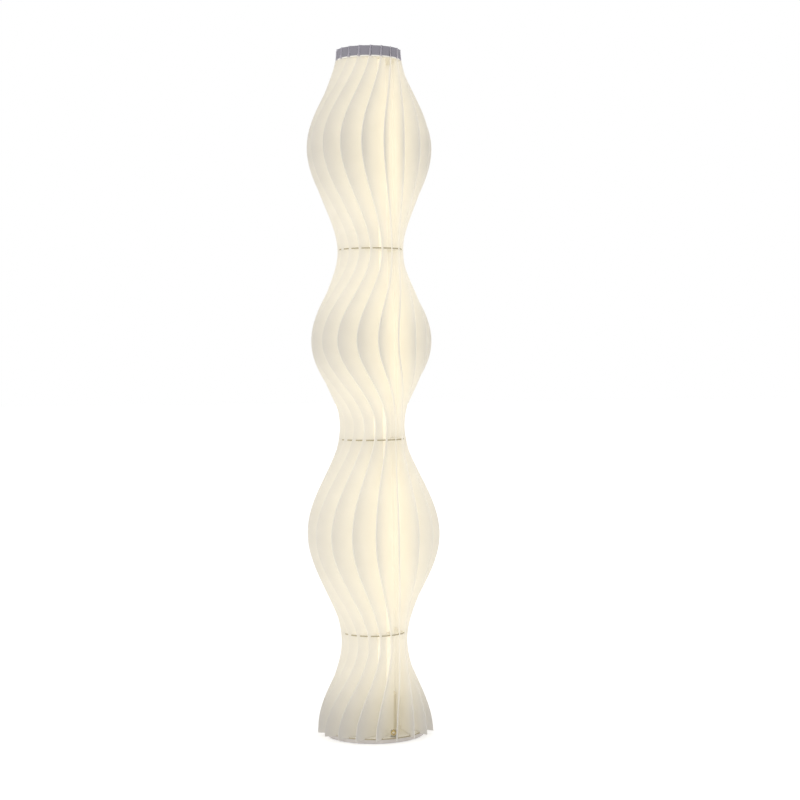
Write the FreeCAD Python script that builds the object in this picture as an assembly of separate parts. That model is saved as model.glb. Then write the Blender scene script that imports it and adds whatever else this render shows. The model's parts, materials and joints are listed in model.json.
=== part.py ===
import FreeCAD, Part
import math
import os

# Floor lamp: wavy frosted sheets stand round a lit column like the blades of
# a turbine. Slotted discs on a pole, and one on the base plate, carry them.
# Millimetres, +Z up, origin on the floor on the pole's axis, front towards -Y.

# Whole lamp
lamp_height = 1600.0
vane_count = 18
clearance = 0.3
overrun = 2.0
full_turn_degrees = 360.0

# Sheets: upright and gently twisted, each passing vane_offset from the lamp's axis at all heights
vane_thickness = 2.0
vane_offset = 55.0
vane_root = 28.0
lap_reach = 10.75
span_steps = 6

# Outer edge of the sheets: how far it stands past the discs, and its widest places
skirt_radius = 136.5
lower_neck_lip = 2.5
lower_bulge_radius = 156.0
middle_neck_lip = 1.5
middle_bulge_radius = 140.5
upper_neck_lip = 3.0
upper_bulge_radius = 145.5
crown_lip = 1.0

# Heights of those places as shares of the lamp's height
lower_neck_share = 0.137
lower_bulge_share = 0.2955
middle_neck_share = 0.4535
middle_bulge_share = 0.5765
upper_neck_share = 0.7065
upper_bulge_share = 0.858

# Turn of the outer edge at those places, as shares of the step between two sheets
skirt_turn_share = -0.15
lower_neck_turn_share = 0.2
lower_bulge_turn_share = 0.075
middle_neck_turn_share = -0.05
middle_bulge_turn_share = -0.825
upper_neck_turn_share = -0.275
upper_bulge_turn_share = -0.45
crown_turn_share = -0.2

# Turn of the inner edge where the discs hold it, in the same shares
foot_root_turn_share = -0.05
lower_root_turn_share = 0.2
middle_root_turn_share = 0.0
upper_root_turn_share = -0.25
top_root_turn_share = -0.2

# Base plate, its felt pads and the slotted disc on it
base_radius = 114.0
base_thickness = 8.0
pad_height = 1.0
pad_radius = 9.0
pad_edge_gap = 6.0
pad_count = 6
foot_disc_inset = 1.5
foot_disc_thickness = 2.5

# Discs on the pole: their heights as shares of the lamp's height
disc_thickness = 3.0
crown_rise = 23.0
lower_disc_share = 0.1495
middle_disc_share = 0.4325
upper_disc_share = 0.709
seat_groove_depth = 0.8

# Pole, a six-sided hollow profile, and its socket
pole_across_flats = 24.0
pole_wall = 3.0
socket_flange_width = 8.5
socket_flange_thickness = 4.0
socket_wall = 2.6
socket_height = 40.0
wire_hole_radius = 4.0
wire_hole_rise = 20.0

# Collars clamped on the pole under the discs
collar_wall = 5.0
collar_height = 12.0
set_screw_radius = 2.3
set_screw_sink = 0.5

# Lit column: frosted tubes between the discs, light strips on the pole
diffuser_radius = 40.0
diffuser_wall = 2.5
diffuser_end_gap = 0.5
strip_width = 10.0
strip_thickness = 1.5
strip_end_gap = 6.0
strip_count = 3

# Screws
screw_radius = 2.0
screw_end_gap = 0.5
screw_head_radius = 3.5
screw_head_height = 2.2
socket_screw_count = 4

# Driver housing at the foot of the pole
housing_wall = 2.0
housing_height = 82.0
lid_thickness = 2.0
lid_screw_length = 10.0
post_radius = 4.0
post_count = 3
driver_gap = 5.0
driver_width_share = 0.92
driver_height = 52.0
terminal_depth = 14.0
terminal_width = 28.0
terminal_height = 16.0
grommet_wall = 2.0
grommet_lip = 2.0
grommet_lip_thickness = 1.5
grommet_rise = 18.0

# Cord gland on its bracket near the edge of the base
cord_radius = 3.5
gland_axis_height = 9.5
gland_wall = 1.0
gland_head_radius = 6.5
gland_head_length = 4.0
gland_nose_radius = 5.0
gland_nose_length = 5.0
gland_nut_wall = 1.0
gland_nut_thickness = 3.0
gland_sheet_gap = 1.5
gland_edge_gap = 2.5
bracket_thickness = 2.0
bracket_lip = 1.0

# Cap and fastenings at the top
cap_wall = 2.5
cap_sink = 1.0
cap_web_rise = 8.5
stud_radius = 4.0
stud_plug_length = 30.0
washer_radius = 9.0
washer_thickness = 1.0
cap_nut_wall = 2.5
cap_nut_height = 3.5
cap_nut_dome_share = 0.95

# Levels and radii that follow from the sizes above
base_top = pad_height + base_thickness
foot_top = base_top + foot_disc_thickness
vane_foot = base_top + clearance
housing_top = foot_top + housing_height
lid_top = housing_top + lid_thickness
socket_top = foot_top + socket_height
top_disc_height = lamp_height - crown_rise - disc_thickness
cap_floor = top_disc_height + disc_thickness
cap_top = lamp_height - cap_sink
cap_web_top = cap_floor + cap_web_rise + cap_wall
washer_top = cap_web_top + washer_thickness
root_radius = math.hypot(vane_offset, vane_root)
disc_radius = math.hypot(vane_offset, vane_root + 2 * lap_reach)
foot_disc_radius = base_radius - foot_disc_inset
pole_corner = pole_across_flats / 2 / math.cos(math.pi / 6)
pole_bore_radius = pole_across_flats / 2 - pole_wall
socket_radius = pole_corner + socket_wall
flange_radius = socket_radius + socket_flange_width
collar_radius = pole_corner + collar_wall
post_place_radius = diffuser_radius + screw_head_radius + clearance
housing_inside = post_place_radius + post_radius + clearance
housing_radius = housing_inside + housing_wall
grommet_radius = cord_radius + grommet_wall
gland_neck_radius = cord_radius + clearance + gland_wall
cap_bore_radius = root_radius - vane_thickness - cap_wall
vane_step = full_turn_degrees / vane_count

disc_heights = {
    "lower": lamp_height * lower_disc_share,
    "middle": lamp_height * middle_disc_share,
    "upper": lamp_height * upper_disc_share,
    "top": top_disc_height,
}

# Places of the outer edge: height, radius, turn in steps
edge_places = (
    (vane_foot, skirt_radius, skirt_turn_share),
    (lamp_height * lower_neck_share, disc_radius + lower_neck_lip, lower_neck_turn_share),
    (lamp_height * lower_bulge_share, lower_bulge_radius, lower_bulge_turn_share),
    (lamp_height * middle_neck_share, disc_radius + middle_neck_lip, middle_neck_turn_share),
    (lamp_height * middle_bulge_share, middle_bulge_radius, middle_bulge_turn_share),
    (lamp_height * upper_neck_share, disc_radius + upper_neck_lip, upper_neck_turn_share),
    (lamp_height * upper_bulge_share, upper_bulge_radius, upper_bulge_turn_share),
    (lamp_height, disc_radius + crown_lip, crown_turn_share),
)

# Places of the inner edge: height, distance along the sheet's plane, turn in steps
root_places = (
    (vane_foot, vane_root, foot_root_turn_share),
    (disc_heights["lower"], vane_root, lower_root_turn_share),
    (disc_heights["middle"], vane_root, middle_root_turn_share),
    (disc_heights["upper"], vane_root, upper_root_turn_share),
    (disc_heights["top"], vane_root, top_root_turn_share),
    (lamp_height, vane_root, top_root_turn_share),
)


def vec(x, y, z=0.0):
    return FreeCAD.Vector(x, y, z)


def cylinder(radius, low, high, x=0.0, y=0.0):
    return Part.makeCylinder(radius, high - low, vec(x, y, low))


def ring(outer, inner, low, high):
    return cylinder(outer, low, high).cut(cylinder(inner, low - overrun, high + overrun))


def prism(points, low, high):
    outline = Part.makePolygon([vec(x, y, low) for x, y in points + points[:1]])
    return Part.Face(outline).extrude(vec(0, 0, high - low))


def block(x_low, x_high, y_low, y_high, low, high):
    return prism([(x_low, y_low), (x_high, y_low), (x_high, y_high), (x_low, y_high)], low, high)


def places_round(radius, count, start=0.0):
    """Evenly spaced points on a circle, the first at a bearing from +X in radians."""
    angles = [start + 2 * math.pi * i / count for i in range(count)]
    return [(radius * math.cos(a), radius * math.sin(a)) for a in angles]


def hexagon(across_flats, low, high):
    corner = across_flats / 2 / math.cos(math.pi / 6)
    return prism(places_round(corner, 6, math.pi / 6), low, high)


def turned(shape, degrees):
    copy = shape.copy()
    copy.rotate(vec(0, 0), vec(0, 0, 1), degrees)
    return copy


def round_pattern(shape, count, start=0.0):
    return [turned(shape, start + full_turn_degrees * i / count) for i in range(count)]


def screw(x, y, seat, length):
    """Pan-head screw on a level seat, its shank pointing down."""
    shank = cylinder(screw_radius, seat - length, seat, x, y)
    return shank.fuse(cylinder(screw_head_radius, seat, seat + screw_head_height, x, y))


def screw_hole(x, y, low, high):
    return cylinder(screw_radius + clearance / 2, low - overrun, high + overrun, x, y)


def eased(places, height, column):
    """A column of the places at a height, eased from each place to the next."""
    for below, above in zip(places, places[1:]):
        if height <= above[0]:
            break
    share = (height - below[0]) / (above[0] - below[0])
    return below[column] + (above[column] - below[column]) * (1 - math.cos(math.pi * share)) / 2


def sheet_point(steps, run, height):
    """Point at a run along the first sheet's plane, turned about the axis by some steps."""
    angle = math.radians(steps * vane_step)
    x = vane_offset * math.cos(angle) + run * math.sin(angle)
    y = vane_offset * math.sin(angle) - run * math.cos(angle)
    return vec(x, y, height)


def vane_line(height):
    """Root point, direction and length of the first sheet's middle line at a height."""
    root = sheet_point(eased(root_places, height, 2), eased(root_places, height, 1), height)
    edge_run = math.sqrt(eased(edge_places, height, 1) ** 2 - vane_offset ** 2)
    edge = sheet_point(eased(edge_places, height, 2), edge_run, height)
    along = edge - root
    length = along.Length
    return root, along.normalize(), length


def vane_slab(level, run_low, run_high, low, high, spare):
    """Upright slab along the first sheet's line at a level, thicker than the sheet by spare."""
    root, along, length = vane_line(level)
    across = vec(-along.y, along.x) * (vane_thickness / 2 + spare)
    near = root + along * run_low
    far = root + along * run_high
    corners = (near - across, far - across, far + across, near + across)
    return prism([(corner.x, corner.y) for corner in corners], low, high)


def lap_depth(radius):
    """How far the sheet's notch reaches in from its root, and the disc's slot from its rim."""
    return (math.sqrt(radius ** 2 - vane_offset ** 2) - vane_root) / 2


def lap_slots(radius, low, high):
    """Slots from a disc's rim inwards, one for each sheet."""
    start = lap_depth(radius) - clearance
    slot = vane_slab(high, start, radius, low - overrun, high + overrun, clearance)
    return round_pattern(slot, vane_count)


def vane_notch(radius, low, high):
    """Notch at a sheet's root: the disc lies in it, and the sheet hangs on the disc's top."""
    return vane_slab(high, -overrun, lap_depth(radius) + clearance, low, high, overrun)


def vane_heights():
    heights = [vane_foot]
    for below, above in zip(edge_places, edge_places[1:]):
        rise = (above[0] - below[0]) / span_steps
        heights += [below[0] + rise * step for step in range(1, span_steps + 1)]
    return heights


def vane():
    """First sheet: four long curves joined by ruled faces, notched for each disc."""
    heights = vane_heights()
    curves = []
    for end, side in ((0, -1), (1, -1), (1, 1), (0, 1)):
        points = []
        for height in heights:
            root, along, length = vane_line(height)
            across = vec(-along.y, along.x) * (vane_thickness / 2)
            points.append(root + along * (length * end) + across * side)
        curve = Part.BSplineCurve()
        curve.interpolate(Points=points, Parameters=heights)
        curves.append(curve)
    edges = [curve.toShape() for curve in curves]
    faces = [Part.makeRuledSurface(one, two) for one, two in zip(edges, edges[1:] + edges[:1])]
    for height in (heights[0], heights[-1]):
        corners = [curve.value(height) for curve in curves]
        faces.append(Part.Face(Part.makePolygon(corners + corners[:1])))
    shell = Part.makeShell(faces)
    shell.sewShape()
    sheet = Part.makeSolid(shell)
    if sheet.Volume < 0:
        sheet.reverse()
    for low in disc_heights.values():
        sheet = sheet.cut(vane_notch(disc_radius, low - clearance, low + disc_thickness))
    return sheet.cut(vane_notch(foot_disc_radius, vane_foot - overrun, foot_top))


def pole_hole(low, high):
    return hexagon(pole_across_flats + 2 * clearance, low - overrun, high + overrun)


def seat_groove(low, high):
    return ring(diffuser_radius + clearance, diffuser_radius - diffuser_wall - clearance, low, high)


def holding_disc(low, has_tube_above):
    """Disc on the pole with slots for the sheets and seats for the frosted tubes."""
    high = low + disc_thickness
    disc = cylinder(disc_radius, low, high).cut(pole_hole(low, high))
    disc = disc.cut(seat_groove(low - overrun, low + seat_groove_depth))
    if has_tube_above:
        disc = disc.cut(seat_groove(high - seat_groove_depth, high + overrun))
    return disc.cut(lap_slots(disc_radius, low, high))


def set_screw(low, outer, spare=0.0):
    """Level screw through a collar with this foot, bearing on a flat of the pole."""
    start = vec(-pole_across_flats / 2, 0, low + collar_height / 2)
    return Part.makeCylinder(set_screw_radius + spare, outer + start.x, start, vec(-1, 0, 0))


def collar(top):
    """Ring round the pole under a disc, with a threaded hole for its set screw."""
    low = top - collar_height
    body = cylinder(collar_radius, low, top).cut(pole_hole(low, top))
    return body.cut(set_screw(low, collar_radius + overrun, clearance / 2))


def pole_set_screws():
    outer = collar_radius - set_screw_sink
    screws = [set_screw(low - collar_height, outer) for low in disc_heights.values()]
    screws.append(set_screw(socket_top - collar_height, socket_radius - set_screw_sink))
    return screws


def pad_places():
    return places_round(base_radius - pad_radius - pad_edge_gap, pad_count, math.pi / pad_count)


def socket_screw_places():
    middle = (socket_radius + flange_radius) / 2
    return places_round(middle, socket_screw_count, math.pi / socket_screw_count)


def post_places():
    return places_round(post_place_radius, post_count, math.pi / post_count)


def base_plate():
    plate = cylinder(base_radius, pad_height, base_top)
    for x, y in socket_screw_places() + post_places() + [bracket_screw_place()]:
        plate = plate.cut(screw_hole(x, y, pad_height, base_top))
    return plate


def base_pads():
    return [cylinder(pad_radius, 0, pad_height, x, y) for x, y in pad_places()]


def foot_disc():
    """Thin slotted disc on the base plate, which holds the sheets' feet."""
    disc = cylinder(foot_disc_radius, base_top, foot_top).cut(pole_hole(base_top, foot_top))
    for x, y in socket_screw_places() + post_places() + [bracket_screw_place()]:
        disc = disc.cut(screw_hole(x, y, base_top, foot_top))
    return disc.cut(lap_slots(foot_disc_radius, base_top, foot_top))


def pole_socket():
    """Flange with a boss that the pole stands in, screwed down through the foot disc."""
    flange_top = foot_top + socket_flange_thickness
    socket = cylinder(flange_radius, foot_top, flange_top)
    socket = socket.fuse(cylinder(socket_radius, foot_top, socket_top))
    socket = socket.cut(pole_hole(foot_top, socket_top))
    for x, y in socket_screw_places():
        socket = socket.cut(screw_hole(x, y, foot_top, flange_top))
    return socket.cut(set_screw(socket_top - collar_height, socket_radius + overrun, clearance / 2))


def socket_screws():
    seat = foot_top + socket_flange_thickness
    length = seat - pad_height - screw_end_gap
    return [screw(x, y, seat, length) for x, y in socket_screw_places()]


def column_pole():
    pole = hexagon(pole_across_flats, base_top, cap_floor)
    pole = pole.cut(cylinder(pole_bore_radius, base_top - overrun, cap_floor + overrun))
    start = vec(0, 0, socket_top + wire_hole_rise)
    return pole.cut(Part.makeCylinder(wire_hole_radius, pole_across_flats, start, vec(1, 0, 0)))


def housing_posts():
    """Posts riveted into the base and bored at the top for the lid's screws."""
    posts = []
    for x, y in post_places():
        post = cylinder(post_radius, foot_top, housing_top, x, y)
        post = post.fuse(cylinder(screw_radius, pad_height, foot_top, x, y))
        posts.append(post.cut(screw_hole(x, y, housing_top - lid_screw_length, housing_top)))
    return posts


def grommet_bar(radius, start, end):
    """Level cylinder towards the front, between two distances from the lamp's axis."""
    return Part.makeCylinder(radius, end - start, vec(0, -start, foot_top + grommet_rise), vec(0, -1, 0))


def driver_housing():
    shell = ring(housing_radius, housing_inside, foot_top, housing_top)
    return shell.cut(grommet_bar(grommet_radius, housing_inside / 2, housing_radius + overrun))


def housing_grommet():
    """Rubber ring in the housing's wall, where the cord passes."""
    lip_radius = grommet_radius + grommet_lip
    inside = math.sqrt(housing_inside ** 2 - lip_radius ** 2)
    sleeve = grommet_bar(grommet_radius - clearance, inside, housing_radius)
    inner_lip = grommet_bar(lip_radius, inside - grommet_lip_thickness, inside)
    outer_lip = grommet_bar(lip_radius, housing_radius, housing_radius + grommet_lip_thickness)
    hole = grommet_bar(cord_radius + clearance, 0, 2 * housing_radius)
    return sleeve.fuse(inner_lip).fuse(outer_lip).cut(hole)


def housing_lid():
    lid = cylinder(housing_radius, housing_top, lid_top).cut(pole_hole(housing_top, lid_top))
    for x, y in post_places():
        lid = lid.cut(screw_hole(x, y, housing_top, lid_top))
    return lid.cut(seat_groove(lid_top - seat_groove_depth, lid_top + overrun))


def lid_screws():
    return [screw(x, y, lid_top, lid_screw_length) for x, y in post_places()]


def led_driver():
    """Closed case beside the pole, as deep as the housing leaves room for."""
    width = housing_inside * driver_width_share
    face = socket_radius + clearance
    back = math.sqrt((housing_inside - driver_gap) ** 2 - (width / 2) ** 2)
    foot = foot_top + socket_flange_thickness + screw_head_height + clearance
    case = block(face, back, -width / 2, width / 2, foot, foot + driver_height)
    stand = block(flange_radius + clearance, back, -width / 2, width / 2, foot_top, foot)
    return case.fuse(stand)


def terminal_block():
    face = flange_radius + clearance
    half = terminal_width / 2
    return block(-face - terminal_depth, -face, -half, half, foot_top, foot_top + terminal_height)


def lit_spans():
    """Floor and ceiling of each lit stretch of the column, from the lid upwards."""
    ceilings = list(disc_heights.values())
    floors = [lid_top] + [low + disc_thickness for low in ceilings[:-1]]
    return list(zip(floors, ceilings))


def diffuser_tube(floor, ceiling):
    low = floor - seat_groove_depth
    high = ceiling + seat_groove_depth - diffuser_end_gap
    return ring(diffuser_radius, diffuser_radius - diffuser_wall, low, high)


def light_strips(floor, ceiling):
    """Strips on every other flat of the pole, between two discs."""
    face = pole_across_flats / 2
    half = strip_width / 2
    high = ceiling - collar_height - strip_end_gap
    strip = block(face, face + strip_thickness, -half, half, floor + strip_end_gap, high)
    return round_pattern(strip, strip_count, full_turn_degrees / strip_count / 2)


def top_cap():
    """Moulded drum on the top disc: slots for the sheets' tops, and a web bored for the stud."""
    low, high = cap_floor - overrun, cap_top + overrun
    cap = cylinder(disc_radius, cap_floor, cap_top)
    cap = cap.cut(cylinder(cap_bore_radius, low, cap_floor + cap_web_rise))
    cap = cap.cut(cylinder(cap_bore_radius, cap_web_top, high))
    cap = cap.cut(cylinder(stud_radius + clearance, cap_floor, high))
    slot = vane_slab(cap_top, -2 * clearance, disc_radius, low, high, 2 * clearance)
    return cap.cut(round_pattern(slot, vane_count))


def top_stud():
    """Threaded end in the top of the pole: a plug in its bore and a screw above."""
    plug = cylinder(pole_bore_radius - clearance / 2, cap_floor - stud_plug_length, cap_floor)
    return plug.fuse(cylinder(stud_radius, cap_floor, washer_top + cap_nut_height))


def top_washer():
    return ring(washer_radius, stud_radius + clearance, cap_web_top, washer_top)


def cap_nut():
    """Six-sided nut with a domed end, bored from below for the stud."""
    across_flats = 2 * (stud_radius + cap_nut_wall)
    top = washer_top + cap_nut_height
    dome = Part.makeSphere(across_flats / 2 * cap_nut_dome_share, vec(0, 0, top), vec(0, 0, 1), 0)
    nut = hexagon(across_flats, washer_top, top).fuse(dome)
    return nut.cut(cylinder(stud_radius + clearance / 2, washer_top - overrun, top + clearance))


def gland_place():
    """Middle of the bracket's front face: beside the first sheet, just inside the rim."""
    depth = gland_head_length + gland_nose_length + gland_edge_gap
    root, along, length = vane_line(foot_top)
    beside = vane_thickness / 2 + gland_sheet_gap + gland_head_radius
    y = depth - math.sqrt(foot_disc_radius ** 2 - (vane_offset - beside) ** 2)
    x = root.x + along.x * (y - root.y) / along.y - beside
    return x, y


def gland_bar(radius, start, end):
    """Level cylinder on the gland's axis, between two distances in front of the bracket."""
    x, y = gland_place()
    foot = vec(x, y - start, foot_top + gland_axis_height)
    return Part.makeCylinder(radius, end - start, foot, vec(0, -1, 0))


def bracket_screw_place():
    """Just behind the end of the gland's neck, which stands a clearance out of its nut."""
    x, y = gland_place()
    neck_end = bracket_thickness + gland_nut_thickness + clearance
    return x, y + neck_end + clearance + screw_head_radius


def gland_bracket():
    """Steel angle on the foot disc: a wall as wide as the gland's head, and a narrower tread."""
    x, y = gland_place()
    wide, narrow = gland_head_radius, screw_head_radius + bracket_lip
    wall_top = foot_top + gland_axis_height + gland_head_radius
    wall = block(x - wide, x + wide, y, y + bracket_thickness, foot_top, wall_top)
    tread_top = foot_top + bracket_thickness
    tread_back = bracket_screw_place()[1] + narrow
    angle = wall.fuse(block(x - narrow, x + narrow, y, tread_back, foot_top, tread_top))
    angle = angle.cut(screw_hole(*bracket_screw_place(), foot_top, tread_top))
    return angle.cut(gland_bar(gland_neck_radius + clearance / 2, -bracket_thickness - overrun, overrun))


def bracket_screw():
    seat = foot_top + bracket_thickness
    return screw(*bracket_screw_place(), seat, seat - pad_height - screw_end_gap)


def cord_gland():
    """Brass gland: a neck through the bracket, a round head and a tapered nose."""
    x, y = gland_place()
    neck_end = bracket_thickness + gland_nut_thickness + clearance
    nose_end = gland_head_length + gland_nose_length
    gland = gland_bar(gland_neck_radius, -neck_end, 0)
    gland = gland.fuse(gland_bar(gland_head_radius, 0, gland_head_length))
    nose_start = vec(x, y - gland_head_length, foot_top + gland_axis_height)
    nose = Part.makeCone(gland_head_radius, gland_nose_radius, gland_nose_length, nose_start, vec(0, -1, 0))
    return gland.fuse(nose).cut(gland_bar(cord_radius + clearance, -neck_end - overrun, nose_end + overrun))


def gland_nut():
    """Six-sided nut on the gland's neck, behind the bracket."""
    x, y = gland_place()
    nut = hexagon(2 * (gland_neck_radius + gland_nut_wall), 0, gland_nut_thickness)
    nut = nut.cut(cylinder(gland_neck_radius + clearance / 2, -overrun, gland_nut_thickness + overrun))
    nut.rotate(vec(0, 0), vec(1, 0, 0), 90)
    nut.translate(vec(x, y + bracket_thickness + gland_nut_thickness, foot_top + gland_axis_height))
    return nut


def nodes():
    """Every sub-part by its node name. A list holds like pieces that share one node."""
    parts = {
        "base_plate": base_plate(),
        "base_pads": base_pads(),
        "foot_disc": foot_disc(),
        "pole_socket": pole_socket(),
        "socket_screws": socket_screws(),
        "column_pole": column_pole(),
        "pole_set_screws": pole_set_screws(),
        "driver_housing": driver_housing(),
        "housing_posts": housing_posts(),
        "housing_lid": housing_lid(),
        "lid_screws": lid_screws(),
        "housing_grommet": housing_grommet(),
        "led_driver": led_driver(),
        "terminal_block": terminal_block(),
        "gland_bracket": gland_bracket(),
        "bracket_screw": bracket_screw(),
        "cord_gland": cord_gland(),
        "gland_nut": gland_nut(),
        "top_cap": top_cap(),
        "top_stud": top_stud(),
        "top_washer": top_washer(),
        "cap_nut": cap_nut(),
    }
    for name, low in disc_heights.items():
        parts[f"{name}_disc"] = holding_disc(low, name != "top")
        parts[f"{name}_collar"] = collar(low)
    for number, (floor, ceiling) in enumerate(lit_spans(), 1):
        parts[f"diffuser_tube_{number}"] = diffuser_tube(floor, ceiling)
        parts[f"light_strips_{number}"] = light_strips(floor, ceiling)
    first_vane = vane()
    for number in range(vane_count):
        parts[f"vane_{number + 1:02d}"] = turned(first_vane, vane_step * number)
    return parts


os.makedirs("parts", exist_ok=True)
for node_name, shape in nodes().items():
    if isinstance(shape, list):
        shape = Part.makeCompound(shape)
    shape.exportStep(f"parts/{node_name}.step")
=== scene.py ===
import bpy
import json
import math
from mathutils import Euler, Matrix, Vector


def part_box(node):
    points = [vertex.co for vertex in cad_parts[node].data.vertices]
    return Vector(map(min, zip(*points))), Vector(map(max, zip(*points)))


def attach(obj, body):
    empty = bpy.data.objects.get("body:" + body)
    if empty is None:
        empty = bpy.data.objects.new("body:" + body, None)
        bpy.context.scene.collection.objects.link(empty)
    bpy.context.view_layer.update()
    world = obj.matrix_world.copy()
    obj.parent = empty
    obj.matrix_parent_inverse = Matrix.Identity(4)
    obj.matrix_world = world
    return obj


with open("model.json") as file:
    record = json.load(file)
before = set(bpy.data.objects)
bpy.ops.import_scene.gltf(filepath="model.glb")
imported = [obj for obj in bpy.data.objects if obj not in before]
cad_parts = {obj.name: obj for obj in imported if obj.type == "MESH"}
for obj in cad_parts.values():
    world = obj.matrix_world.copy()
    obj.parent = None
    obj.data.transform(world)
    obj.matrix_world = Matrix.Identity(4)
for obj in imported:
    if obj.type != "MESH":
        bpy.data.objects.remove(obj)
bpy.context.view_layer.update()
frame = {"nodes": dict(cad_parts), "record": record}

# Metres, +Z up, the lamp's axis through the origin and its front towards -Y.
MM = 0.001

# Camera: about 4 m in front of the lamp, a little above half its height
PHOTO_PX = 800
FOCAL_PX = 1702.0
SENSOR_MM = 36.0
CAMERA_DISTANCE = 3.988
CAMERA_HEIGHT = 0.879
CAMERA_PITCH = 0.0238
CAMERA_YAW = 0.0165
CAMERA_ROLL = -0.0104

# Light: a white surround, one large soft lamp from the front left, and the lit column
WORLD_LEVEL = 0.95
SOFT_LAMP_WATTS = 15.0
SOFT_LAMP_SIZE = 2.4
SOFT_LAMP_PLACE = (-2.6, -3.4, 3.2)
SOFT_LAMP_AIM = (0.0, 0.0, 0.8)
COLUMN_GLOW = 0.25

# Floor: its width, and the glow that it is seen with, so that it looks as white as the surround
FLOOR_SIZE = 60.0
FLOOR_LIFT = 0.3

# Places that the materials follow: how far from the lamp's axis each sheet passes, and heights
VANE_OFFSET = 55.0 * MM
TOP_DISC_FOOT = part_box("top_disc")[0][2]
LOWER_DISC_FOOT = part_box("lower_disc")[0][2]
LID_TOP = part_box("housing_lid")[1][2]

# Painted glow on the sheets, standing in for the light they carry outwards from the column: full at
# a near radius, then less with the square of the way, down to none at a far radius. That one starts
# at the floor with the skirt's, and each row gives the two heights between which it changes
# smoothly, and what it changes to.
SHEET_GLOW = 0.745
SHEET_GLOW_NEAR = 50.0 * MM
SKIRT_GLOW_FAR = 137.0 * MM
GLOW_FAR_STEPS = (
    (0.0, 460.0 * MM, 208.0 * MM),                               # up to the lowest bulge
    (460.0 * MM, 730.0 * MM, 163.0 * MM),                        # from there to the bulges above
    (TOP_DISC_FOOT - 170.0 * MM, TOP_DISC_FOOT, 108.0 * MM),     # at the crown
)

# Painted glow on the sheets' cut edges, a painted highlight standing in for carried light that
# leaves them, and how squarely a face has to look along its sheet before it begins to count as a cut
# edge, and counts in full
EDGE_GLOW = 0.34
EDGE_FROM = 0.6
EDGE_TO = 0.8

# Painted shade: share of the painted glow left where the gap between two sheets opens outwards,
# how far a gap gathers light, and how open a place is where the loss begins, and where it is full
OPEN_SHARE = 0.6
GAP_REACH = 60.0 * MM
OPEN_FROM = 0.55
OPEN_TO = 0.95

# Painted shade: shares of the painted glow left at the foot, and beside each disc, which interrupts
# the lit column
FOOT_SHARE = 0.62
DISC_SHARES = {"lower_disc": 0.84, "middle_disc": 0.75, "upper_disc": 0.82, "top_disc": 0.85}
DISC_FADE = 130.0 * MM

# Plastics: the share of light that passes through a sheet, and refractive indices
SHEET_THROUGH = 0.65
CLEAR_PLASTIC_IOR = 1.49
SILICONE_IOR = 1.41

# Discs: how level a face has to be before its pale skin begins to show, and shows in full
SKIN_FROM = 0.4
SKIN_TO = 0.6

# Patterns: the range that noise mostly keeps to, and the spacing of waves at a scale of 1
NOISE_LOW = 0.3
NOISE_HIGH = 0.7
WAVE_SPACING = 0.314

# Light chips on the strips: a square body and a round lens
STRIP_COUNT = 3
CHIP_PITCH = 8.3 * MM
CHIP_WIDTH = 5.0 * MM
CHIP_HEIGHT = 0.9 * MM
CHIP_SIDES = 4
LENS_WIDTH = 3.6 * MM
LENS_HEIGHT = 0.15 * MM
LENS_SIDES = 12


def linear(code):
    """A colour written as sRGB hex, turned to the linear values that shaders take."""
    shares = [int(code[i:i + 2], 16) / 255 for i in (1, 3, 5)]
    curve = [s / 12.92 if s <= 0.04045 else ((s + 0.055) / 1.055) ** 2.4 for s in shares]
    return (*curve, 1.0)


def add(tree, kind, inputs=None, stops=None, **settings):
    """Adds a node with its settings. An input takes a value, a socket or a node's first output."""
    node = tree.nodes.new(kind)
    for name, value in settings.items():
        setattr(node, name, value)
    for name, value in (inputs or {}).items():
        if isinstance(value, bpy.types.Node):
            value = value.outputs[0]
        if isinstance(value, bpy.types.NodeSocket):
            tree.links.new(value, node.inputs[name])
        else:
            node.inputs[name].default_value = value
    for number, (position, code) in enumerate(stops or ()):
        elements = node.color_ramp.elements
        element = elements[number] if number < len(elements) else elements.new(position)
        element.position = position
        element.color = linear(code)
    return node


def begin(name):
    """A new material, its empty tree and the coordinates of the object that wears it."""
    material = bpy.data.materials.new(name)
    material.use_nodes = True
    tree = material.node_tree
    tree.nodes.clear()
    return material, tree, add(tree, "ShaderNodeTexCoord").outputs["Object"]


def cut_edge(tree, flat, reach):
    """1 where a face is a sheet's cut edge: it faces along its sheet, VANE_OFFSET from the axis."""
    side = add(tree, "ShaderNodeVectorMath", {0: flat, 1: (0, 0, 1)}, operation="CROSS_PRODUCT")
    square = add(tree, "ShaderNodeMath", {0: reach, 1: reach}, operation="MULTIPLY")
    spare = add(tree, "ShaderNodeMath", {0: square, 1: VANE_OFFSET ** 2}, operation="SUBTRACT")
    run = add(tree, "ShaderNodeMath", {0: spare}, operation="SQRT")
    outwards = add(tree, "ShaderNodeVectorMath", {0: flat, "Scale": run}, operation="SCALE")
    sideways = add(tree, "ShaderNodeVectorMath", {
        0: side, "Scale": VANE_OFFSET}, operation="SCALE")
    along = add(tree, "ShaderNodeVectorMath", {0: outwards, 1: sideways}, operation="ADD")
    along = add(tree, "ShaderNodeVectorMath", {0: along}, operation="NORMALIZE")
    facing = add(tree, "ShaderNodeNewGeometry").outputs["True Normal"]
    match = add(tree, "ShaderNodeVectorMath", {0: along, 1: facing}, operation="DOT_PRODUCT")
    return add(tree, "ShaderNodeMapRange", {
        "Value": match.outputs["Value"], "From Min": EDGE_FROM, "From Max": EDGE_TO})


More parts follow.
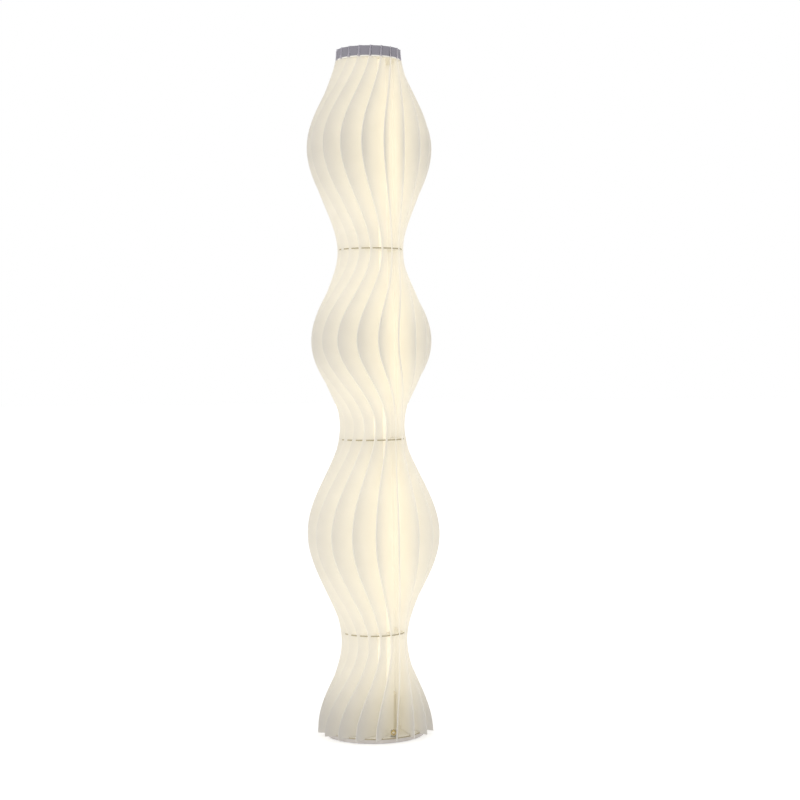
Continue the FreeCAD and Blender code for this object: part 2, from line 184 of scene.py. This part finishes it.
def painted_sheet_glow(tree, place, height, painted_glow_mask):
    """Strength of the painted glow on a sheet: light carried out from the column, and a painted
    highlight where it leaks at cut edges.
    """
    flat = add(tree, "ShaderNodeVectorMath", {0: place, 1: (1, 1, 0)}, operation="MULTIPLY")
    reach = add(tree, "ShaderNodeVectorMath", {0: flat}, operation="LENGTH").outputs["Value"]
    # The painted glow fades away from the column
    far = SKIRT_GLOW_FAR
    for start, end, radius in GLOW_FAR_STEPS:
        far = add(tree, "ShaderNodeMapRange", {
            "Value": height, "From Min": start, "From Max": end,
            "To Min": far, "To Max": radius}, interpolation_type="SMOOTHSTEP")
    way_out = add(tree, "ShaderNodeMapRange", {
        "Value": reach, "From Min": SHEET_GLOW_NEAR, "From Max": far})
    loss = add(tree, "ShaderNodeMath", {0: way_out, 1: way_out}, operation="MULTIPLY")
    carried_painted_glow = add(tree, "ShaderNodeMapRange", {"Value": loss, "To Min": SHEET_GLOW, "To Max": 0.0})
    carried_painted_glow = add(tree, "ShaderNodeMath", {0: carried_painted_glow, 1: painted_glow_mask}, operation="MULTIPLY")
    # Painted highlight: a glow on the sheets' cut edges
    painted_edge_glow = add(tree, "ShaderNodeMath", {
        0: cut_edge(tree, flat, reach), 1: EDGE_GLOW}, operation="MULTIPLY")
    glow = add(tree, "ShaderNodeMath", {0: carried_painted_glow, 1: painted_edge_glow}, operation="ADD")
    # Painted shade: the painted glow is weaker where a gap opens outwards, towards the foot, and
    # near each disc
    opening = add(tree, "ShaderNodeAmbientOcclusion", {"Distance": GAP_REACH}, samples=8)
    painted_shades = [
        add(tree, "ShaderNodeMapRange", {
            "Value": opening.outputs["AO"], "From Min": OPEN_FROM, "From Max": OPEN_TO,
            "To Min": 1.0, "To Max": OPEN_SHARE}),
        add(tree, "ShaderNodeMapRange", {
            "Value": height, "From Min": LID_TOP / 2, "From Max": LOWER_DISC_FOOT,
            "To Min": FOOT_SHARE}),
    ]
    for disc, share in DISC_SHARES.items():
        rise = add(tree, "ShaderNodeMath", {
            0: height, 1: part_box(disc)[0][2]}, operation="SUBTRACT")
        rise = add(tree, "ShaderNodeMath", {0: rise}, operation="ABSOLUTE")
        painted_shades.append(add(tree, "ShaderNodeMapRange", {
            "Value": rise, "From Max": DISC_FADE, "To Min": share}))
    for one_painted_shade in painted_shades:
        glow = add(tree, "ShaderNodeMath", {0: glow, 1: one_painted_shade}, operation="MULTIPLY")
    return glow


def frosted_sheet():
    """Frosted polypropylene, die cut: milky and satin, with a painted glow for the light it carries
    from the column to its edge.
    """
    material, tree, place = begin("frosted polypropylene sheet")
    height = add(tree, "ShaderNodeSeparateXYZ", {"Vector": place}).outputs["Z"]
    # Above the top disc the sheets stand in the cap's slots, out of the light: painted shade tints
    # them grey there, and the painted glow is cut
    painted_shade_band = add(tree, "ShaderNodeMapRange", {
        "Value": height, "From Min": TOP_DISC_FOOT, "From Max": TOP_DISC_FOOT + MM})
    painted_glow_mask = add(tree, "ShaderNodeMath", {0: 1.0, 1: painted_shade_band}, operation="SUBTRACT")
    # Rolled sheet is unevenly milky, in blots of about 40 mm
    blots = add(tree, "ShaderNodeTexNoise", {
        "Vector": place, "Scale": 1 / (40 * MM), "Detail": 3.0})
    milk = add(tree, "ShaderNodeValToRGB", {"Fac": blots}, stops=[
        (NOISE_LOW, "#E1DFDC"), (NOISE_HIGH, "#E4E2DF")])
    # Painted shade: the sheets above the top disc get a greyer tint
    milk_with_painted_shade = add(tree, "ShaderNodeMix", {
        0: painted_shade_band, 6: milk.outputs[0], 7: linear("#D9D6DE")}, data_type="RGBA").outputs[2]
    # Satin grain of about 1 mm, coarser than the real one so that it shows
    grain = add(tree, "ShaderNodeTexNoise", {"Vector": place, "Scale": 1 / MM, "Detail": 2.0})
    rough = add(tree, "ShaderNodeMapRange", {"Value": grain, "To Min": 0.3, "To Max": 0.42})
    relief = add(tree, "ShaderNodeBump", {
        "Height": grain, "Strength": 0.06, "Distance": 0.1 * MM})
    # The sheet's emission is painted glow, standing in for the column's light that the sheet
    # scatters
    skin = add(tree, "ShaderNodeBsdfPrincipled", {
        "Base Color": milk_with_painted_shade, "Roughness": rough, "IOR": CLEAR_PLASTIC_IOR, "Normal": relief,
        "Emission Color": linear("#FFF8DF"),
        "Emission Strength": painted_sheet_glow(tree, place, height, painted_glow_mask)})
    through = add(tree, "ShaderNodeBsdfTranslucent", {"Color": milk_with_painted_shade})
    surface = add(tree, "ShaderNodeMixShader", {0: SHEET_THROUGH, 1: skin, 2: through})
    add(tree, "ShaderNodeOutputMaterial", {"Surface": surface})
    return material


def opal_tube():
    """Opal acrylic tube over the light strips: an even warm glow with no hot spots."""
    material, tree, place = begin("opal acrylic tube")
    # A haze in clouds of about 12 mm
    haze = add(tree, "ShaderNodeTexNoise", {
        "Vector": place, "Scale": 1 / (12 * MM), "Detail": 2.0})
    white = add(tree, "ShaderNodeValToRGB", {"Fac": haze}, stops=[
        (NOISE_LOW, "#F6F0E2"), (NOISE_HIGH, "#FBF7EE")])
    rough = add(tree, "ShaderNodeMapRange", {"Value": haze, "To Min": 0.3, "To Max": 0.4})
    surface = add(tree, "ShaderNodeBsdfPrincipled", {
        "Base Color": white, "Roughness": rough, "IOR": CLEAR_PLASTIC_IOR,
        "Emission Color": linear("#FFFBF0"), "Emission Strength": COLUMN_GLOW})
    add(tree, "ShaderNodeOutputMaterial", {"Surface": surface})
    return material


def compact_laminate():
    """Compact laminate, pressed and sawn: pale satin faces, and brown layered paper at every cut."""
    material, tree, place = begin("compact laminate")
    # Faint clouds of about 8 mm in the pale faces
    clouds = add(tree, "ShaderNodeTexNoise", {
        "Vector": place, "Scale": 1 / (8 * MM), "Detail": 4.0})
    face = add(tree, "ShaderNodeValToRGB", {"Fac": clouds}, stops=[
        (NOISE_LOW, "#EDE9DE"), (NOISE_HIGH, "#F3F0E7")])
    # Layers of 0.8 mm at the cut, thicker than the real paper so that they show
    layers = add(tree, "ShaderNodeTexWave", {
        "Vector": place, "Scale": WAVE_SPACING / (0.8 * MM), "Distortion": 1.5},
        bands_direction="Z")
    core = add(tree, "ShaderNodeValToRGB", {"Fac": layers}, stops=[
        (0.2, "#AFA486"), (0.8, "#BEB396")])
    facing = add(tree, "ShaderNodeNewGeometry").outputs["True Normal"]
    level = add(tree, "ShaderNodeSeparateXYZ", {"Vector": facing}).outputs["Z"]
    level = add(tree, "ShaderNodeMath", {0: level}, operation="ABSOLUTE")
    pale = add(tree, "ShaderNodeMapRange", {
        "Value": level, "From Min": SKIN_FROM, "From Max": SKIN_TO})
    # The top disc's edge, next to the cap, is banded pale too
    height = add(tree, "ShaderNodeSeparateXYZ", {"Vector": place}).outputs["Z"]
    banded = add(tree, "ShaderNodeMath", {
        0: height, 1: TOP_DISC_FOOT - MM}, operation="GREATER_THAN")
    pale = add(tree, "ShaderNodeMath", {0: pale, 1: banded}, operation="MAXIMUM")
    colour = add(tree, "ShaderNodeMix", {
        0: pale, 6: core.outputs[0], 7: face.outputs[0]}, data_type="RGBA").outputs[2]
    rough = add(tree, "ShaderNodeMapRange", {"Value": clouds, "To Min": 0.45, "To Max": 0.6})
    relief = add(tree, "ShaderNodeBump", {
        "Height": layers, "Strength": 0.1, "Distance": 0.05 * MM})
    surface = add(tree, "ShaderNodeBsdfPrincipled", {
        "Base Color": colour, "Roughness": rough, "Normal": relief})
    add(tree, "ShaderNodeOutputMaterial", {"Surface": surface})
    return material


def light_board():
    """White solder resist on the light strips: smooth, with the faint weave of the board below."""
    material, tree, place = begin("white circuit board")
    # Threads 1.2 mm apart, coarser than the real weave so that they show
    weave = add(tree, "ShaderNodeTexWave", {
        "Vector": place, "Scale": WAVE_SPACING / (1.2 * MM), "Distortion": 0.4},
        bands_direction="Z")
    white = add(tree, "ShaderNodeValToRGB", {"Fac": weave}, stops=[
        (0.0, "#EEEBDF"), (1.0, "#F4F1E6")])
    relief = add(tree, "ShaderNodeBump", {
        "Height": weave, "Strength": 0.1, "Distance": 0.05 * MM})
    surface = add(tree, "ShaderNodeBsdfPrincipled", {
        "Base Color": white, "Roughness": 0.35, "Normal": relief})
    add(tree, "ShaderNodeOutputMaterial", {"Surface": surface})
    return material


def chip_phosphor():
    """Silicone with yellow phosphor in the light chips: soft, pale yellow, slightly glossy."""
    material, tree, place = begin("phosphor silicone")
    # Specks of about 0.5 mm, coarser than the real grains so that they show
    specks = add(tree, "ShaderNodeTexNoise", {
        "Vector": place, "Scale": 1 / (0.5 * MM), "Detail": 2.0})
    yellow = add(tree, "ShaderNodeValToRGB", {"Fac": specks}, stops=[
        (NOISE_LOW, "#E8CF6A"), (NOISE_HIGH, "#F3E08C")])
    rough = add(tree, "ShaderNodeMapRange", {"Value": specks, "To Min": 0.2, "To Max": 0.3})
    surface = add(tree, "ShaderNodeBsdfPrincipled", {
        "Base Color": yellow, "Roughness": rough, "IOR": SILICONE_IOR})
    add(tree, "ShaderNodeOutputMaterial", {"Surface": surface})
    return material


def powder_coat(name, low, high, least_rough, most_rough):
    """Powder-coated steel: matt, with an orange peel of about 1 mm over a 15 mm mottle."""
    material, tree, place = begin(name)
    mottle = add(tree, "ShaderNodeTexNoise", {
        "Vector": place, "Scale": 1 / (15 * MM), "Detail": 4.0})
    colour = add(tree, "ShaderNodeValToRGB", {"Fac": mottle}, stops=[
        (NOISE_LOW, low), (NOISE_HIGH, high)])
    peel = add(tree, "ShaderNodeTexNoise", {"Vector": place, "Scale": 1 / MM, "Detail": 2.0})
    rough = add(tree, "ShaderNodeMapRange", {
        "Value": mottle, "To Min": least_rough, "To Max": most_rough})
    relief = add(tree, "ShaderNodeBump", {
        "Height": peel, "Strength": 0.15, "Distance": 0.1 * MM})
    surface = add(tree, "ShaderNodeBsdfPrincipled", {
        "Base Color": colour, "Roughness": rough, "Normal": relief})
    add(tree, "ShaderNodeOutputMaterial", {"Surface": surface})
    return material


def worked_metal(name, low, high, grain, least_rough, most_rough):
    """A bare metal with marks from its making, whose spacing along X, Y and Z is its grain."""
    material, tree, place = begin(name)
    scaled = add(tree, "ShaderNodeMapping", {
        "Vector": place, "Scale": [1 / spacing for spacing in grain]})
    marks = add(tree, "ShaderNodeTexNoise", {"Vector": scaled, "Scale": 1.0, "Detail": 3.0})
    colour = add(tree, "ShaderNodeValToRGB", {"Fac": marks}, stops=[
        (NOISE_LOW, low), (NOISE_HIGH, high)])
    rough = add(tree, "ShaderNodeMapRange", {
        "Value": marks, "To Min": least_rough, "To Max": most_rough})
    relief = add(tree, "ShaderNodeBump", {
        "Height": marks, "Strength": 0.2, "Distance": 0.05 * MM})
    surface = add(tree, "ShaderNodeBsdfPrincipled", {
        "Base Color": colour, "Metallic": 1.0, "Roughness": rough, "Normal": relief})
    add(tree, "ShaderNodeOutputMaterial", {"Surface": surface})
    return material


def moulded(name, low, high, grain, least_rough, most_rough):
    """A moulded or pressed non-metal with an even grain of the given size."""
    material, tree, place = begin(name)
    specks = add(tree, "ShaderNodeTexNoise", {"Vector": place, "Scale": 1 / grain, "Detail": 3.0})
    colour = add(tree, "ShaderNodeValToRGB", {"Fac": specks}, stops=[
        (NOISE_LOW, low), (NOISE_HIGH, high)])
    rough = add(tree, "ShaderNodeMapRange", {
        "Value": specks, "To Min": least_rough, "To Max": most_rough})
    relief = add(tree, "ShaderNodeBump", {
        "Height": specks, "Strength": 0.25, "Distance": grain / 8})
    surface = add(tree, "ShaderNodeBsdfPrincipled", {
        "Base Color": colour, "Roughness": rough, "Normal": relief})
    add(tree, "ShaderNodeOutputMaterial", {"Surface": surface})
    return material


def finishes():
    """The material of each slot in the record."""
    drawn = (0.3 * MM, 0.3 * MM, 60 * MM)
    turned = (20 * MM, 20 * MM, 0.4 * MM)
    rolled = (6 * MM, 6 * MM, 6 * MM)
    return {
        "sheet_frosted": frosted_sheet(),
        "tube_frosted": opal_tube(),
        "light_board": light_board(),
        "disc_laminate": compact_laminate(),
        "base_paint": powder_coat(
            "pale powder coat on base steel", "#CFC9C4", "#D6D0CB", 0.5, 0.7),
        "cap_plastic": moulded("grey moulded ABS", "#85828B", "#8E8B94", 0.8 * MM, 0.5, 0.65),
        "housing_paint": powder_coat(
            "ivory powder coat on housing steel", "#E6E1D2", "#EDE8DA", 0.5, 0.7),
        "pole_aluminium": worked_metal(
            "extruded aluminium", "#B9B9B7", "#C9C9C7", drawn, 0.3, 0.5),
        "collar_aluminium": worked_metal(
            "turned aluminium", "#B2B2B0", "#C4C4C2", turned, 0.25, 0.45),
        "steel_plain": worked_metal("oiled mild steel", "#8E8C89", "#9C9A97", rolled, 0.4, 0.6),
        "steel_zinc": worked_metal("zinc-plated steel", "#B4B4AE", "#C4C3BB", rolled, 0.3, 0.5),
        "nut_plated": worked_metal(
            "nickel-plated brass", "#C2BDB2", "#CFCABF", rolled, 0.12, 0.32),
        "gland_brass": worked_metal("satin brass", "#C6B27C", "#D2C08D", rolled, 0.3, 0.5),
        "rubber_dark": moulded("black rubber", "#161616", "#1E1E1E", 0.8 * MM, 0.7, 0.85),
        "felt_dark": moulded("dark wool felt", "#191919", "#272727", 0.6 * MM, 0.85, 1.0),
        "driver_case": moulded("white moulded ABS", "#DEDEDA", "#E6E6E2", 0.7 * MM, 0.5, 0.65),
        "terminal_plastic": moulded("ivory polyamide", "#CCC7B8", "#D5D0C2", 0.7 * MM, 0.4, 0.55),
    }


def dress(materials):
    """Puts each CAD node in the finish of its slot."""
    for part in frame["record"]["subparts"]:
        for slot in frame["nodes"][part["node"]].material_slots:
            slot.material = materials[part["material_slot"]]


def rows_tree():
    """Geometry nodes: upright rows of small blocks, one row for each strip round the pole."""
    tree = bpy.data.node_groups.new("rows of chips", "GeometryNodeTree")
    tree.interface.new_socket("Geometry", in_out="OUTPUT", socket_type="NodeSocketGeometry")
    sizes = {"Count": "Int", "Strips": "Int", "Sides": "Int", "Pitch": "Float", "Start": "Float",
             "Face": "Float", "Radius": "Float", "Height": "Float", "Finish": "Material"}
    for name, kind in sizes.items():
        tree.interface.new_socket(name, in_out="INPUT", socket_type="NodeSocket" + kind)
    size = add(tree, "NodeGroupInput").outputs
    foot = add(tree, "ShaderNodeCombineXYZ", {"Z": size["Start"]})
    step = add(tree, "ShaderNodeCombineXYZ", {"Z": size["Pitch"]})
    row = add(tree, "GeometryNodeMeshLine", {
        "Count": size["Count"], "Start Location": foot, "Offset": step})
    rows = add(tree, "GeometryNodeDuplicateElements", {
        0: row, "Amount": size["Strips"]}, domain="POINT")
    # A prism stands on the strip's face, its axis away from the pole, with a flat side down
    prism = add(tree, "GeometryNodeMeshCylinder", {
        "Vertices": size["Sides"], "Radius": size["Radius"], "Depth": size["Height"]})
    flat_turn = add(tree, "ShaderNodeMath", {0: math.pi, 1: size["Sides"]}, operation="DIVIDE")
    turn = add(tree, "ShaderNodeCombineXYZ", {"Z": flat_turn})
    prism = add(tree, "GeometryNodeTransform", {0: prism, "Rotation": turn})
    half = add(tree, "ShaderNodeMath", {0: size["Height"], 1: 2.0}, operation="DIVIDE")
    middle = add(tree, "ShaderNodeMath", {0: size["Face"], 1: half}, operation="ADD")
    out = add(tree, "ShaderNodeCombineXYZ", {"X": middle})
    prism = add(tree, "GeometryNodeTransform", {
        0: prism, "Translation": out, "Rotation": (0, math.pi / 2, 0)})
    # The strips lie on every other flat, half a step round from +X
    number = add(tree, "ShaderNodeMath", {
        0: rows.outputs["Duplicate Index"], 1: 0.5}, operation="ADD")
    share = add(tree, "ShaderNodeMath", {0: number, 1: size["Strips"]}, operation="DIVIDE")
    bearing = add(tree, "ShaderNodeMath", {0: share, 1: 2 * math.pi}, operation="MULTIPLY")
    spin = add(tree, "ShaderNodeCombineXYZ", {"Z": bearing})
    spin = add(tree, "FunctionNodeEulerToRotation", {0: spin})
    blocks = add(tree, "GeometryNodeInstanceOnPoints", {
        "Points": rows, "Instance": prism, "Rotation": spin})
    real = add(tree, "GeometryNodeRealizeInstances", {0: blocks})
    finished = add(tree, "GeometryNodeSetMaterial", {0: real, "Material": size["Finish"]})
    add(tree, "NodeGroupOutput", {0: finished})
    return tree


def grow(name, tree, sizes):
    """A plain mesh object made by a geometry tree from its named inputs."""
    seed = bpy.data.objects.new(name, bpy.data.meshes.new(name))
    bpy.context.scene.collection.objects.link(seed)
    modifier = seed.modifiers.new(name, "NODES")
    modifier.node_group = tree
    for item in tree.interface.items_tree:
        if item.in_out == "INPUT":
            modifier[item.identifier] = sizes[item.name]
    graph = bpy.context.evaluated_depsgraph_get()
    mesh = bpy.data.meshes.new_from_object(seed.evaluated_get(graph))
    seed.modifiers.clear()
    seed.data = mesh
    return seed


def make_chips(materials):
    """Light chips along every strip: a white square body and a round lens of phosphor in it."""
    tree = rows_tree()
    # One of the strips faces -X, so the box says how far out their faces lie
    face = -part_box("light_strips_1")[0][0]
    bodies = {"Sides": CHIP_SIDES, "Radius": CHIP_WIDTH / math.sqrt(2), "Height": CHIP_HEIGHT,
              "Face": face, "Finish": materials["driver_case"]}
    lenses = {"Sides": LENS_SIDES, "Radius": LENS_WIDTH / 2, "Height": LENS_HEIGHT,
              "Face": face + CHIP_HEIGHT, "Finish": chip_phosphor()}
    strips = sorted(node for node in frame["nodes"] if node.startswith("light_strips_"))
    for number, strip in enumerate(strips, 1):
        low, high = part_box(strip)
        length = high[2] - low[2]
        count = int(length / CHIP_PITCH)
        spare = length - (count - 1) * CHIP_PITCH
        row = {"Count": count, "Strips": STRIP_COUNT, "Pitch": CHIP_PITCH,
               "Start": low[2] + spare / 2}
        for name, shape in (("chip_bodies", bodies), ("chip_lenses", lenses)):
            piece = grow(f"{name}_{number}", tree, row | shape)
            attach(piece, "root")


def seen_rays(tree):
    """1 for the rays that show a thing: from the camera, mirrored, or passed through glass."""
    path = add(tree, "ShaderNodeLightPath").outputs
    seen = add(tree, "ShaderNodeMath", {
        0: path["Is Camera Ray"], 1: path["Is Glossy Ray"]}, operation="MAXIMUM")
    return add(tree, "ShaderNodeMath", {
        0: seen, 1: path["Is Transmission Ray"]}, operation="MAXIMUM")


def floor_material():
    """White painted floor: it is seen lifted to white, and its shadow stays."""
    material, tree, _ = begin("white studio floor")
    lift = add(tree, "ShaderNodeMath", {0: seen_rays(tree), 1: FLOOR_LIFT}, operation="MULTIPLY")
    matt = add(tree, "ShaderNodeBsdfDiffuse", {"Color": linear("#F4F4F4")})
    lifted = add(tree, "ShaderNodeEmission", {"Color": linear("#FFFFFF"), "Strength": lift})
    surface = add(tree, "ShaderNodeAddShader", {0: matt, 1: lifted})
    add(tree, "ShaderNodeOutputMaterial", {"Surface": surface})
    return material


def make_floor():
    """A wide floor under the lamp, which isn't part of it."""
    half = FLOOR_SIZE / 2
    corners = [(-half, -half, 0), (half, -half, 0), (half, half, 0), (-half, half, 0)]
    mesh = bpy.data.meshes.new("floor")
    mesh.from_pydata(corners, [], [(0, 1, 2, 3)])
    mesh.materials.append(floor_material())
    floor = bpy.data.objects.new("floor", mesh)
    bpy.context.scene.collection.objects.link(floor)


def make_world():
    """A white surround: full white where it is seen, a little lower as light on the lamp."""
    world = bpy.data.worlds.new("white surround")
    world.use_nodes = True
    bpy.context.scene.world = world
    tree = world.node_tree
    tree.nodes.clear()
    level = add(tree, "ShaderNodeMapRange", {
        "Value": seen_rays(tree), "To Min": WORLD_LEVEL, "To Max": 1.0})
    light = add(tree, "ShaderNodeBackground", {"Color": linear("#FFFFFF"), "Strength": level})
    add(tree, "ShaderNodeOutputWorld", {"Surface": light})


def make_soft_lamp():
    """A large square lamp at the front left, aimed at the middle of the object."""
    data = bpy.data.lights.new("soft lamp", "AREA")
    data.energy = SOFT_LAMP_WATTS
    data.size = SOFT_LAMP_SIZE
    lamp = bpy.data.objects.new("soft lamp", data)
    bpy.context.scene.collection.objects.link(lamp)
    lamp.location = SOFT_LAMP_PLACE
    aim = Vector(SOFT_LAMP_AIM) - Vector(SOFT_LAMP_PLACE)
    lamp.rotation_euler = aim.to_track_quat("-Z", "Y").to_euler()


def make_camera():
    """A camera in front of the lamp, with its small pitch, yaw and roll."""
    data = bpy.data.cameras.new("camera")
    data.sensor_width = SENSOR_MM
    data.lens = FOCAL_PX * SENSOR_MM / PHOTO_PX
    camera = bpy.data.objects.new("camera", data)
    bpy.context.scene.collection.objects.link(camera)
    camera.location = (0.0, -CAMERA_DISTANCE, CAMERA_HEIGHT)
    turn = Euler((0, 0, -CAMERA_YAW)).to_matrix()
    tilt = Euler((math.pi / 2 - CAMERA_PITCH, 0, 0)).to_matrix()
    roll = Euler((0, 0, CAMERA_ROLL)).to_matrix()
    camera.rotation_euler = (turn @ tilt @ roll).to_euler()
    bpy.context.scene.camera = camera


make_camera()
make_world()
make_soft_lamp()
make_floor()
materials = finishes()
dress(materials)
make_chips(materials)
bpy.context.scene.view_settings.view_transform = "Standard"
